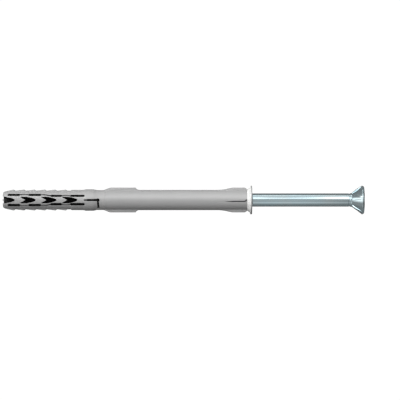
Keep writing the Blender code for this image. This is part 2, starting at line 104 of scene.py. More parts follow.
class Plane(Enum):
    """The plane in which an outline is traced."""

    TURNING = "along the axis and outwards, at the front"
    FRONT = "along the axis and across, seen from the front"
    END = "across the axis, seen from the end"

    def place(self, first: float, second: float, level: float) -> Vector:
        """Turns a point of an outline into a point in space.

        Args:
            first: The point's first number.
            second: The point's second number.
            level: How far the plane lies from the origin.

        Returns:
            The point in space.
        """
        if self is Plane.TURNING:
            return Vector((first, level, second))
        if self is Plane.FRONT:
            return Vector((first, second, level))
        return Vector((level, first, second))

    def normal(self) -> Vector:
        """The direction in which the plane is raised."""
        return self.place(0.0, 0.0, 1.0)


@dataclass(frozen=True)
class Corner:
    """A corner of an outline, and the radius that softens it."""

    first: float
    second: float
    soft: float = 0.0

    def at(self) -> Vector:
        """The corner as a flat vector."""
        return Vector((self.first, self.second))


def softened(corners: list[Corner]) -> Outline:
    """Rounds the corners of a closed outline.

    Args:
        corners: The corners in order, each with its own radius.

    Returns:
        The points of the rounded outline.
    """
    points: Outline = []
    for number, corner in enumerate(corners):
        here = corner.at()
        back = corners[number - 1].at() - here
        ahead = corners[(number + 1) % len(corners)].at() - here
        opening = back.angle(ahead, HALF_TURN)
        turn = HALF_TURN - opening
        if corner.soft <= 0.0 or turn < LEAST_TURN:
            points.append((here.x, here.y))
            continue
        room = ROOM_SHARE * min(back.length, ahead.length)
        reach = min(corner.soft * math.tan(turn / 2.0), room)
        radius = reach / math.tan(turn / 2.0)
        bisector = (back.normalized() + ahead.normalized()).normalized()
        centre = here + bisector * radius / math.cos(turn / 2.0)
        start = here + back.normalized() * reach - centre
        end = here + ahead.normalized() * reach - centre
        steps = max(2, math.ceil(turn / SOFT_STEP))
        side = 1.0 if start.x * end.y - start.y * end.x > 0.0 else -1.0
        for step in range(steps + 1):
            angle = math.atan2(start.y, start.x) + side * turn * step / steps
            points.append((centre.x + radius * math.cos(angle), centre.y + radius * math.sin(angle)))
    return points


def arc(centre: tuple[float, float], radius: float, first: float, last: float, steps: int = 8) -> Outline:
    """Points on an arc, its ends included.

    Args:
        centre: The middle of the circle.
        radius: The radius of the circle.
        first: The angle of the first point, in degrees.
        last: The angle of the last point, in degrees.
        steps: The number of steps between them.

    Returns:
        The points in order.
    """
    angles = [math.radians(first + (last - first) * step / steps) for step in range(steps + 1)]
    return [(centre[0] + radius * math.cos(a), centre[1] + radius * math.sin(a)) for a in angles]


def long_slot(first: float, last: float, middle: float, width: float) -> Outline:
    """Outline of a slot with round ends.

    Args:
        first: Where the slot begins along the axis.
        last: Where it ends.
        middle: Its distance from the middle line.
        width: Its width.

    Returns:
        The points of the outline.
    """
    radius = width / 2.0
    return arc((last - radius, middle), radius, -90, 90) + arc((first + radius, middle), radius, 90, 270)


class Bench:
    """The modelling steps, each made with Blender's own operators on one object."""

    @staticmethod
    def take(*items: Item) -> None:
        """Selects these objects alone, the first as the active one.

        Args:
            items: The objects.
        """
        bpy.ops.object.select_all(action="DESELECT")
        for item in items:
            item.select_set(True)
        if items:
            bpy.context.view_layer.objects.active = items[0]

    @classmethod
    def trace(cls, name: str, outline: Outline, plane: Plane, level: float = 0.0) -> Item:
        """Draws a closed outline, vertex by vertex, as one flat face, and leaves it open for editing.

        Args:
            name: The new object's name.
            outline: The points of the outline.
            plane: The plane that it is drawn in.
            level: How far that plane lies from the origin.

        Returns:
            The new object, in edit mode.
        """
        places = [plane.place(first, second, level) for first, second in outline]
        cls.take()
        bpy.ops.mesh.primitive_plane_add(size=MM, location=places[0])
        item = bpy.context.active_object
        item.name = item.data.name = name
        bpy.ops.object.mode_set(mode="EDIT")
        bpy.ops.mesh.select_mode(type="VERT")
        bpy.ops.mesh.select_all(action="SELECT")
        bpy.ops.mesh.merge(type="CENTER")
        for start, end in zip(places, places[1:]):
            bpy.ops.mesh.extrude_vertices_move(TRANSFORM_OT_translate={"value": end - start})
        bpy.ops.mesh.select_all(action="SELECT")
        bpy.ops.mesh.edge_face_add()
        return item

    @classmethod
    def close(cls, item: Item) -> Item:
        """Merges doubles, points the faces out and brings the object to the origin.

        Args:
            item: The object, in edit mode.

        Returns:
            The same object, in object mode.
        """
        bpy.ops.mesh.select_all(action="SELECT")
        bpy.ops.mesh.remove_doubles(threshold=MERGE_GAP)
        bpy.ops.mesh.normals_make_consistent(inside=False)
        return cls.leave(item)

    @classmethod
    def leave(cls, item: Item) -> Item:
        """Leaves edit mode and brings the object to the origin.

        Args:
            item: The object, in edit mode.

        Returns:
            The same object, in object mode.
        """
        bpy.ops.object.mode_set(mode="OBJECT")
        cls.take(item)
        bpy.ops.object.transform_apply(location=True, rotation=True, scale=True)
        return item

    @classmethod
    def modify(cls, item: Item, kind: str, **settings: object) -> None:
        """Gives an object a modifier and applies it.

        Args:
            item: The object.
            kind: Blender's name for the type of the modifier.
            settings: Values for the modifier's own properties.
        """
        cls.take(item)
        bpy.ops.object.modifier_add(type=kind)
        step = item.modifiers[-1]
        for name, value in settings.items():
            setattr(step, name, value)
        bpy.ops.object.modifier_apply(modifier=step.name)

    @classmethod
    def turned(cls, name: str, outline: Outline, steps: int = TURNED_STEPS) -> Item:
        """Spins a closed outline all the way round the X axis.

        Args:
            name: The new object's name.
            outline: Points along the axis and outwards.
            steps: The number of steps in the turn.

        Returns:
            The turned solid.
        """
        item = cls.trace(name, outline, Plane.TURNING)
        bpy.ops.mesh.delete(type="ONLY_FACE")
        bpy.ops.mesh.select_all(action="SELECT")
        bpy.ops.mesh.spin(steps=steps, angle=FULL_TURN, center=(0.0, 0.0, 0.0), axis=(1.0, 0.0, 0.0))
        return cls.close(item)

    @classmethod
    def prism(cls, name: str, outline: Outline, plane: Plane, low: float, high: float) -> Item:
        """Raises an outline to a prism.

        Args:
            name: The new object's name.
            outline: The points of the outline.
            plane: The plane that it is drawn in.
            low: The level where the prism begins.
            high: The level where it ends.

        Returns:
            The prism.
        """
        item = cls.trace(name, outline, plane, low)
        rise = plane.normal() * (high - low)
        bpy.ops.mesh.extrude_region_move(TRANSFORM_OT_translate={"value": rise})
        return cls.close(item)

    @classmethod
    def swept(cls, name: str, outline: Outline, turn: float, advance: float, steps: int, rounds: int = 1) -> Item:
        """Sweeps an outline round the X axis while it moves along it, and closes both ends.

        Args:
            name: The new object's name.
            outline: Points along the axis and outwards.
            turn: The angle of one round.
            advance: The way along the axis in one round.
            steps: The number of steps in one round.
            rounds: The number of rounds.

        Returns:
            The swept solid.
        """
        item = cls.trace(name, outline, Plane.TURNING)
        bpy.ops.mesh.delete(type="ONLY_FACE")
        cls.leave(item)
        settings = {"axis": "X", "angle": turn, "screw_offset": advance, "iterations": rounds}
        cls.modify(item, "SCREW", steps=steps, render_steps=steps, **settings)
        bpy.ops.object.mode_set(mode="EDIT")
        bpy.ops.mesh.select_all(action="SELECT")
        bpy.ops.mesh.fill_holes(sides=0)
        return cls.close(item)

    @classmethod
    def copy(cls, item: Item, along: float = 0.0, turn: float = 0.0) -> Item:
        """Copies an object with its mesh, then moves the copy along the X axis and turns it about it.

        Args:
            item: The object to copy.
            along: The way along the axis.
            turn: The turn about the axis, from +Y towards +Z.

        Returns:
            The copy.
        """
        cls.take(item)
        bpy.ops.object.duplicate(linked=False)
        twin = bpy.context.active_object
        if along:
            bpy.ops.transform.translate(value=(along, 0.0, 0.0))
        if turn:
            bpy.ops.transform.rotate(value=-turn, orient_axis="X", center_override=(0.0, 0.0, 0.0))
        bpy.ops.object.transform_apply(location=True, rotation=True, scale=True)
        return twin

    @classmethod
    def gather(cls, name: str, items: list[Item]) -> Item:
        """Makes one object of several.

        Args:
            name: The name of the result.
            items: The objects.

        Returns:
            The joined object.
        """
        cls.take(*items)
        if len(items) > 1:
            bpy.ops.object.join()
        items[0].name = items[0].data.name = name
        return items[0]

    @classmethod
    def combine(cls, target: Item, tool: Item, way: Way) -> None:
        """Joins, cuts or trims an object by another one, which is used up.

        Args:
            target: The object that stays.
            tool: The object that works on it.
            way: How it works on it.
        """
        cls.modify(target, "BOOLEAN", operation=way.value, solver="EXACT", object=tool)
        bpy.data.objects.remove(tool, do_unlink=True)

    @classmethod
    def soften(cls, item: Item, width: float, angle: float = 40.0, segments: int = 2) -> None:
        """Bevels the sharp edges of an object.

        Args:
            item: The object.
            width: The width of the bevel.
            angle: The least angle of an edge that counts as sharp, in degrees.
            segments: The number of strips in the bevel.
        """
        limit = math.radians(angle)
        cls.modify(item, "BEVEL", width=width, segments=segments, limit_method="ANGLE", angle_limit=limit)

    @classmethod
    def finish(cls, item: Item, along: float) -> Item:
        """Cleans a finished mesh, moves it to its place and smooths its shading.

        Args:
            item: The object.
            along: The way along the axis to its place.

        Returns:
            The same object.
        """
        cls.take(item)
        bpy.ops.transform.translate(value=(along, 0.0, 0.0))
        bpy.ops.object.mode_set(mode="EDIT")
        bpy.ops.mesh.select_all(action="SELECT")
        bpy.ops.mesh.dissolve_degenerate(threshold=MERGE_GAP / 10.0)
        cls.close(item)
        bpy.ops.object.shade_smooth_by_angle(angle=SMOOTH_ANGLE)
        return item


class Nodes:
    """Adds and joins the nodes of one tree."""

    def __init__(self, tree: Tree) -> None:
        """Keeps the tree.

        Args:
            tree: The tree that the nodes go into.
        """
        self.tree = tree

    def add(self, kind: str, inputs: dict | None = None, **settings: object) -> bpy.types.Node:
        """Adds a node.

        Args:
            kind: Blender's name for the type of the node.
            inputs: Values for the node's sockets, or the outputs that feed them.
            settings: Values for the node's own properties.

        Returns:
            The new node.
        """
        node = self.tree.nodes.new(kind)
        for name, value in settings.items():
            setattr(node, name, value)
        for name, value in (inputs or {}).items():
            if isinstance(value, Socket):
                self.tree.links.new(value, node.inputs[name])
            else:
                node.inputs[name].default_value = value
        return node

    def math(self, operation: str, first: object, second: object = 0.0) -> Socket:
        """Adds a sum of two numbers.

        Args:
            operation: Blender's name for the sum.
            first: The first number or output.
            second: The second number or output.

        Returns:
            The result's output.
        """
        return self.add("ShaderNodeMath", {0: first, 1: second}, operation=operation).outputs[0]

    def ramp(self, value: Socket, low: object, high: object, start: float = 0.0, end: float = 1.0) -> Socket:
        """Adds a smooth ramp from one number to another.

        Args:
            value: The output that is read.
            low: Where the ramp begins.
            high: Where it ends.
            start: The result up to its beginning.
            end: The result from its end on.

        Returns:
            The result's output.
        """
        inputs = {"Value": value, "From Min": low, "From Max": high, "To Min": start, "To Max": end}
        return self.add("ShaderNodeMapRange", inputs, interpolation_type="SMOOTHSTEP").outputs[0]

    def mix(self, amount: object, first: object, second: object, blend: str = "MIX") -> Socket:
        """Adds a mix of two colours.

        Args:
            amount: The share of the second colour.
            first: The first colour or output.
            second: The second colour or output.
            blend: Blender's name for the kind of mix.

        Returns:
            The result's output.
        """
        inputs = {0: amount, 6: first, 7: second}
        return self.add("ShaderNodeMix", inputs, data_type="RGBA", blend_type=blend).outputs[2]


def paint(red: float, green: float, blue: float) -> tuple[float, float, float, float]:
    """A colour for a socket, from its three parts."""
    return (red, green, blue, 1.0)


class Effects:
    """The effects that the finishes share, each a node group that is built once."""

    def __init__(self) -> None:
        """Builds the groups."""
        self.mottle = self._mottle()
        self.grain = self._grain()
        self.depth = self._depth()
        self.band = self._band()

    @staticmethod
    def _open(name: str, inputs: dict[str, float], output: str) -> tuple[Nodes, bpy.types.Node]:
        """Starts a group.

        Args:
            name: The group's name.
            inputs: Its inputs with their usual values.
            output: The name of its output.

        Returns:
            The group's nodes and its input node.
        """
        tree = bpy.data.node_groups.new(name, "ShaderNodeTree")
        for label, value in inputs.items():
            socket = tree.interface.new_socket(label, in_out="INPUT", socket_type="NodeSocketFloat")
            socket.default_value = value
        tree.interface.new_socket(output, in_out="OUTPUT", socket_type="NodeSocketFloat")
        nodes = Nodes(tree)
        return nodes, nodes.add("NodeGroupInput")

    def _mottle(self) -> Tree:
        """Soft cloudy patches, as in moulded plastic or plating. The output runs about one.

        Returns:
            The group.
        """
        nodes, given = self._open("mottle", {"Scale": 300.0, "Contrast": 0.1}, "Value")
        place = nodes.add("ShaderNodeTexCoord").outputs["Object"]
        cloud = nodes.add("ShaderNodeTexNoise", {"Vector": place, "Scale": given.outputs["Scale"], "Detail": 3.0})
        centred = nodes.math("SUBTRACT", cloud.outputs[0], 0.5)
        swing = nodes.math("MULTIPLY", centred, given.outputs["Contrast"])
        nodes.add("NodeGroupOutput", {0: nodes.math("ADD", swing, 1.0)})
        return nodes.tree

    def _grain(self) -> Tree:
        """Fine relief that can be drawn out along the axis.

        Returns:
            The group.
        """
        nodes, given = self._open("fine_grain", {"Along": 2500.0, "Across": 2500.0}, "Height")
        place = nodes.add("ShaderNodeTexCoord").outputs["Object"]
        along, across = given.outputs["Along"], given.outputs["Across"]
        scales = nodes.add("ShaderNodeCombineXYZ", {0: along, 1: across, 2: across}).outputs[0]
        stretched = nodes.add("ShaderNodeVectorMath", {0: place, 1: scales}, operation="MULTIPLY").outputs[0]
        relief = nodes.add("ShaderNodeTexNoise", {"Vector": stretched, "Scale": 1.0, "Detail": 2.0})
        nodes.add("NodeGroupOutput", {0: relief.outputs[0]})
        return nodes.tree

    def _depth(self) -> Tree:
        """How deep a point lies under the outer skin, as the mask for painted shade: none at the skin, one from the
        full depth on.

        Returns:
            The group.
        """
        nodes, given = self._open("depth_below_skin", {"Skin Radius": 0.005, "Start": 0.0, "Full": 0.001}, "Mask")
        place = nodes.add("ShaderNodeTexCoord").outputs["Object"]
        flat = nodes.add("ShaderNodeVectorMath", {0: place, 1: (0.0, 1.0, 1.0)}, operation="MULTIPLY").outputs[0]
        radius = nodes.add("ShaderNodeVectorMath", {0: flat}, operation="LENGTH").outputs["Value"]
        below = nodes.math("SUBTRACT", given.outputs["Skin Radius"], radius)
        nodes.add("NodeGroupOutput", {0: nodes.ramp(below, given.outputs["Start"], given.outputs["Full"])})
        return nodes.tree

    def _band(self) -> Tree:
        """A band along the axis, with soft ends.

        Returns:
            The group.
        """
        nodes, given = self._open("band_along_axis", {"First": 0.0, "Last": 1.0, "Fade": 0.001}, "Mask")
        place = nodes.add("ShaderNodeTexCoord").outputs["Object"]
        along = nodes.add("ShaderNodeSeparateXYZ", {0: place}).outputs[0]
        first, last, fade = (given.outputs[label] for label in ("First", "Last", "Fade"))
        rise = nodes.ramp(along, nodes.math("SUBTRACT", first, fade), first)
        fall = nodes.ramp(along, last, nodes.math("ADD", last, fade), 1.0, 0.0)
        nodes.add("NodeGroupOutput", {0: nodes.math("MULTIPLY", rise, fall)})
        return nodes.tree


class Finish:
    """The parts that both finishes have in common.

    In a finish, clouds and sheen give the scale and the contrast of its mottling in colour and in roughness, grain
    its scales along and across the axis, and bump the strength and the height of that grain.
    """

    @staticmethod
    def start(name: str) -> tuple[bpy.types.Material, Nodes, bpy.types.Node]:
        """Starts a material.

        Args:
            name: The material's name.

        Returns:
            The material, its nodes and its shader.
        """
        material = bpy.data.materials.new(name)
        material.use_nodes = True
        nodes = Nodes(material.node_tree)
        return material, nodes, material.node_tree.nodes["Principled BSDF"]

    @staticmethod
    def effect(nodes: Nodes, group: Tree, **values: object) -> Socket:
        """Places a shared effect.

        Args:
            nodes: The nodes of the material.
            group: The effect's group.
            values: The inputs' values, with _ for a space in a name.

        Returns:
            The effect's output.
        """
        inputs = {label.replace("_", " "): value for label, value in values.items()}
        return nodes.add("ShaderNodeGroup", inputs, node_tree=group).outputs[0]

    @staticmethod
    def join(
        nodes: Nodes, shader: bpy.types.Node, colour: Socket, rough: Socket, relief: Socket, bump: tuple[float, float]
    ) -> None:
        """Joins what changes over the surface to the shader.

        Args:
            nodes: The nodes of the material.
            shader: The material's shader.
            colour: The output that gives the colour.
            rough: The output that gives the roughness.
            relief: The output that gives the height of the fine relief.
            bump: The strength and the height of that relief.
        """
        inputs = {"Height": relief, "Strength": bump[0], "Distance": bump[1]}
        bumped = nodes.add("ShaderNodeBump", inputs).outputs[0]
        for label, source in (("Base Color", colour), ("Roughness", rough), ("Normal", bumped)):
            nodes.tree.links.new(source, shader.inputs[label])


@dataclass(frozen=True)
class GreyNylon(Finish):
    """Moulded grey nylon: satin and faintly clouded, with painted shade that turns its openings near black and a
    painted highlight that makes the thin flare pale.
    """

    colour: tuple[float, float, float] = (0.35, 0.35, 0.35)
    # The painted highlight's colour, pale, for the brightly lit flare.
    pale: tuple[float, float, float] = (0.84, 0.84, 0.83)
    # The painted shade's colour, near black.
    painted_shade: tuple[float, float, float] = (0.004, 0.004, 0.004)
    roughness: float = 0.45
    gloss: float = 1.0
    # Painted shade: below a skin radius that follows the nose, the expansion zone and the shaft, the nylon darkens
    # from the first depth to the full depth, fading in behind the tip.
    zone_skin: float = 4.5 * MM
    shaft_skin: float = 4.88 * MM
    nose_skin: float = 3.45 * MM
    nose_length: float = 3.2 * MM
    zone_length: float = 32.6 * MM
    skin_step: float = 0.4 * MM
    end_fade: float = 0.6 * MM
    first_depth: float = 0.02 * MM
    full_depth: float = 0.75 * MM
    clouds: tuple[float, float] = (160.0, 0.10)
    sheen: tuple[float, float] = (700.0, 0.3)
    grain: tuple[float, float] = (1800.0, 2600.0)
    bump: tuple[float, float] = (0.12, 0.03 * MM)
    # Where the painted highlight lies along the sleeve, over the flare.
    flare_first: float = 117.7 * MM
    flare_last: float = 119.35 * MM
    flare_fade: float = 0.12 * MM

    def make(self, effects: Effects, tip: float) -> bpy.types.Material:
        """Builds the material.

        Args:
            effects: The shared effects.
            tip: Where the sleeve's tip lies along the axis.

        Returns:
            The material.
        """
        material, nodes, shader = self.start("grey_nylon")
        shader.inputs["Specular IOR Level"].default_value = self.gloss
        place = nodes.add("ShaderNodeTexCoord").outputs["Object"]
        along = nodes.add("ShaderNodeSeparateXYZ", {0: place}).outputs[0]
        nose = nodes.ramp(along, tip, tip + self.nose_length, self.nose_skin, self.zone_skin)
        step_start = tip + self.zone_length
        rise = self.shaft_skin - self.zone_skin
        skin = nodes.math("ADD", nose, nodes.ramp(along, step_start, step_start + self.skin_step, 0.0, rise))
        # Painted shade: the bore, windows and slots turn near black with depth below the outer skin.
        below = self.effect(nodes, effects.depth, Skin_Radius=skin, Start=self.first_depth, Full=self.full_depth)
        depth = nodes.math("MULTIPLY", below, nodes.ramp(along, tip, tip + self.end_fade))
        cloud = self.effect(nodes, effects.mottle, Scale=self.clouds[0], Contrast=self.clouds[1])
        sheen = self.effect(nodes, effects.mottle, Scale=self.sheen[0], Contrast=self.sheen[1])
        # Painted highlight: the flare is made pale where light falls brightly on its tip-facing face.
        flare = self.effect(
            nodes, effects.band, First=tip + self.flare_first, Last=tip + self.flare_last, Fade=self.flare_fade
        )
        toned = nodes.mix(1.0, paint(*self.colour), cloud, "MULTIPLY")
        # The painted highlight makes the flare pale.
        toned = nodes.mix(flare, toned, paint(*self.pale))
        # The painted shade turns the openings near black.
        colour = nodes.mix(depth, toned, paint(*self.painted_shade))
        rough = nodes.math("MULTIPLY", sheen, self.roughness)
        dulled = nodes.math("ADD", rough, nodes.math("MULTIPLY", depth, 1.0 - self.roughness))
        relief = self.effect(nodes, effects.grain, Along=self.grain[0], Across=self.grain[1])
        self.join(nodes, shader, colour, dulled, relief, self.bump)
        return material


@dataclass(frozen=True)
class ZincSteel(Finish):
    """Bluish zinc plating on cold-formed steel: semi-bright, with faint drawing lines along the shank and painted
    shade in the drive recess.
    """

    colour: tuple[float, float, float] = (0.55, 0.705, 0.76)
    warm: tuple[float, float, float] = (0.61, 0.695, 0.71)
    # The painted shade's colour for the drive recess.
    painted_shade: tuple[float, float, float] = (0.2, 0.23, 0.25)
    roughness: float = 0.14
    # Where the painted shade in the drive recess lies: its walls, and its floor below the mouth.
    recess_radius: float = 3.4 * MM
    recess_depth: float = 3.4 * MM
    mouth_depth: float = 0.5 * MM
    wall_fade: float = 0.3 * MM
    floor_fade: float = 0.4 * MM
    clouds: tuple[float, float] = (120.0, 0.6)
    cloud_range: tuple[float, float] = (0.8, 1.2)
    sheen: tuple[float, float] = (500.0, 0.35)
    grain: tuple[float, float] = (60.0, 3500.0)
    bump: tuple[float, float] = (0.05, 0.01 * MM)

    def make(self, effects: Effects, face: float) -> bpy.types.Material:
        """Builds the material.

        Args:
            effects: The shared effects.
            face: Where the face of the head lies along the axis.

        Returns:
            The material.
        """
        material, nodes, shader = self.start("zinc_plated_steel")
        shader.inputs["Metallic"].default_value = 1.0
        cloud = self.effect(nodes, effects.mottle, Scale=self.clouds[0], Contrast=self.clouds[1])
        tint = nodes.mix(nodes.ramp(cloud, *self.cloud_range), paint(*self.colour), paint(*self.warm))
        # Painted shade: the walls and floor of the drive recess are darkened.
        inside = self.effect(nodes, effects.depth, Skin_Radius=self.recess_radius, Start=0.0, Full=self.wall_fade)
        first, last = face - self.recess_depth, face - self.mouth_depth
        below = self.effect(nodes, effects.band, First=first, Last=last, Fade=self.floor_fade)
        colour = nodes.mix(nodes.math("MULTIPLY", inside, below), tint, paint(*self.painted_shade))
        sheen = self.effect(nodes, effects.mottle, Scale=self.sheen[0], Contrast=self.sheen[1])
        rough = nodes.math("MULTIPLY", sheen, self.roughness)
        relief = self.effect(nodes, effects.grain, Along=self.grain[0], Across=self.grain[1])
        self.join(nodes, shader, colour, rough, relief, self.bump)
        return material


@dataclass(frozen=True)
class PlugSizes:
    """The sizes that more than one piece of the plug shares."""

    thread_radius: float = 3.5 * MM
    clearance: float = 0.3 * MM
    shaft_radius: float = 4.9 * MM
    zone_radius: float = 4.55 * MM
    core_bore_radius: float = 2.1 * MM
    sleeve_length: float = 120.0 * MM
    screw_length: float = 125.0 * MM
    zone_length: float = 48.94 * MM
    arrow_pitch: float = 10.03 * MM
    point_length: float = 7.0 * MM
    point_radius: float = 0.3 * MM

    @property
    def middle(self) -> float:
        """Half the length from the sleeve's tip to the face of the screw's head."""
        return (self.zone_length + self.screw_length) / 2.0


@dataclass
class Ridges:
    """The barbs and ribs, which stand in one width at +Y and at -Y.

    The sag of the rim rib's ramp is a share of its length and of its rise.
    """

    sizes: PlugSizes
    width: float = 3.4 * MM
    sink: float = 0.5 * MM
    edge: float = 0.16 * MM
    slab_reach: float = 3.0 * MM
    barb_count: int = 6
    barb_height: float = 0.5 * MM
    barb_back: float = 0.8 * MM
    barb_softs: Softs = (0.1 * MM, 0.14 * MM, 0.25 * MM)
    first_crest: float = 5.1 * MM
    first_lead: float = 0.9 * MM
    first_sink: float = 0.12 * MM
    trough_sink: float = 0.05 * MM
    rib_height: float = 1.08 * MM
    front_start: float = 48.34 * MM
    front_sink: float = 0.13 * MM
    front_ramp: float = 3.1 * MM
    front_length: float = 15.6 * MM
    front_back: float = 0.4 * MM
    front_fillet: float = 1.5 * MM
    front_fillet_height: float = 0.35 * MM
    front_softs: Softs = (3.0 * MM, 0.25 * MM, 0.35 * MM, 1.0 * MM)
    rim_end: float = 117.6 * MM
    rim_ramp: float = 6.8 * MM
    rim_sag: tuple[float, float] = (0.45, 0.28)
    rim_length: float = 14.0 * MM
    rim_round: float = 1.5 * MM
    rim_round_steps: int = 10
    rim_soft: float = 6.0 * MM

    def barbs(self) -> Outline:
        """Saw-tooth outline: each barb rises slowly from the tip side and drops steeply behind its crest.

        Returns:
            The points of the outline.
        """
        pitch = self.sizes.arrow_pitch / 2.0
        foot = self.sizes.zone_radius - self.sink
        trough = self.sizes.zone_radius - self.trough_sink
        start_soft, crest_soft, trough_soft = self.barb_softs
        start = self.first_crest - pitch + self.barb_back + self.first_lead
        corners = [Corner(start, foot), Corner(start, trough - self.first_sink, start_soft)]
        for number in range(self.barb_count):
            crest = self.first_crest + number * pitch
            corners.append(Corner(crest, self.sizes.zone_radius + self.barb_height, crest_soft))
            corners.append(Corner(crest + self.barb_back, trough, trough_soft))
        corners[-1] = Corner(corners[-1].first, trough)
        corners.append(Corner(corners[-1].first, foot))
        return softened(corners)

    def front_rib(self) -> Outline:
        """The rib behind the expansion zone: a long ramp, a level crown and a steep back with a fillet.

        Returns:
            The points of the outline.
        """
        radius = self.sizes.shaft_radius
        foot, crown = radius - self.sink, radius + self.rib_height
        back = self.front_start + self.front_length
        end = back + self.front_fillet
        ramp_soft, crown_soft, back_soft, end_soft = self.front_softs
        corners = [
            Corner(self.front_start, foot),
            Corner(self.front_start, radius - self.front_sink),
            Corner(self.front_start + self.front_ramp, crown, ramp_soft),
            Corner(back, crown, crown_soft),
            Corner(back + self.front_back, radius + self.front_fillet_height, back_soft),
            Corner(end, radius - self.trough_sink, end_soft),
            Corner(end, foot),
        ]
        return softened(corners)

    def rim_rib(self) -> Outline:
        """The rib before the rim: a slow ramp, a level crown and a rounded end at the flare.

        Returns:
            The points of the outline.
        """
        radius = self.sizes.shaft_radius
        foot, low, crown = radius - self.sink, radius - self.trough_sink, radius + self.rib_height
        rise = crown - low
        start, turn = self.rim_end - self.rim_length, self.rim_end - self.rim_round
        corners = [
            Corner(start, foot),
            Corner(start, low),
            Corner(start + self.rim_ramp * self.rim_sag[0], low + rise * self.rim_sag[1], self.rim_soft),
            Corner(start + self.rim_ramp, crown, self.rim_soft),
            Corner(turn, crown),
        ]
        for step in range(1, self.rim_round_steps + 1):
            angle = QUARTER_TURN * step / self.rim_round_steps
            corners.append(Corner(turn + self.rim_round * math.sin(angle), low + rise * math.cos(angle)))
        return softened(corners + [Corner(self.rim_end, foot)])

    def build(self) -> Item:
        """Builds the rings, trims them to their width and rounds their edges.

        Returns:
            The ridges, sunk a little into the sleeve.
        """
        outlines = {"barbs": self.barbs(), "front_rib": self.front_rib(), "rim_rib": self.rim_rib()}
        rings = [Bench.turned(name, outline) for name, outline in outlines.items()]
        ridges = Bench.gather("ridges", rings)
        reach = self.sizes.shaft_radius + self.slab_reach
        last = self.sizes.sleeve_length
        slab = [(-CUT_MARGIN, -reach), (last, -reach), (last, reach), (-CUT_MARGIN, reach)]
        half = self.width / 2.0
        Bench.combine(ridges, Bench.prism("ridge_slab", slab, Plane.FRONT, -half, half), Way.TRIM)
        Bench.soften(ridges, self.edge)
        return ridges


@dataclass
class ArrowWindows:
    """The arrow-shaped windows of the expansion zone, and half a pitch on those of the back."""

    sizes: PlugSizes
    count: int = 4
    back_count: int = 3
    back_setback: float = 0.95 * MM
    back_trim: float = 1.9 * MM
    first_point: float = 5.85 * MM
    length: float = 7.3 * MM
    half_width: float = 1.58 * MM
    shoulder: float = 4.3 * MM
    brow: float = 1.7 * MM
    brow_half: float = 1.02 * MM
    nose_half: float = 0.42 * MM
    notch: float = 4.85 * MM
    nose_soft: float = 0.5 * MM
    flank_soft: float = 4.0 * MM
    notch_soft: float = 0.15 * MM
    prong_width: float = 0.3 * MM
    floor: float = 0.3 * MM

    def outline(self, trim: float = 0.0) -> Outline:
        """One window: a rounded point towards the rim, and two prongs that leave a tongue between them.

        Args:
            trim: How much shorter the window is than those of the front.

        Returns:
            The points of the outline.
        """
        point = self.first_point
        tail, notch = point - self.length + trim, point - self.notch + trim
        prong = self.half_width - self.prong_width
        upper = [
            Corner(point, self.nose_half, self.nose_soft),
            Corner(point - self.brow, self.brow_half, self.flank_soft),
            Corner(point - self.shoulder, self.half_width, self.flank_soft),
            Corner(tail, self.half_width, self.prong_width * ROOM_SHARE),
            Corner(tail, prong, self.prong_width * ROOM_SHARE),
        ]
        lower = [Corner(corner.first, -corner.second, corner.soft) for corner in reversed(upper)]
        return softened(upper + [Corner(notch, 0.0, self.notch_soft)] + lower)

    def build(self) -> Item:
        """Builds a cutter for the front and one for the back, and copies them along the zone.

        Returns:
            The cutters as one object.
        """
        top = self.sizes.shaft_radius + CUT_MARGIN
        front = Bench.prism("window_cutter", self.outline(), Plane.FRONT, self.floor, top)
        back = Bench.prism("back_window_cutter", self.outline(self.back_trim), Plane.FRONT, self.floor, top)
        pitch = self.sizes.arrow_pitch
        cutters = [Bench.copy(front, number * pitch) for number in range(self.count)]
        for number in range(self.back_count):
            cutters.append(Bench.copy(back, (number + 0.5) * pitch - self.back_setback, HALF_TURN))
        for pattern in (front, back):
            bpy.data.objects.remove(pattern, do_unlink=True)
        return Bench.gather("window_cutters", cutters)


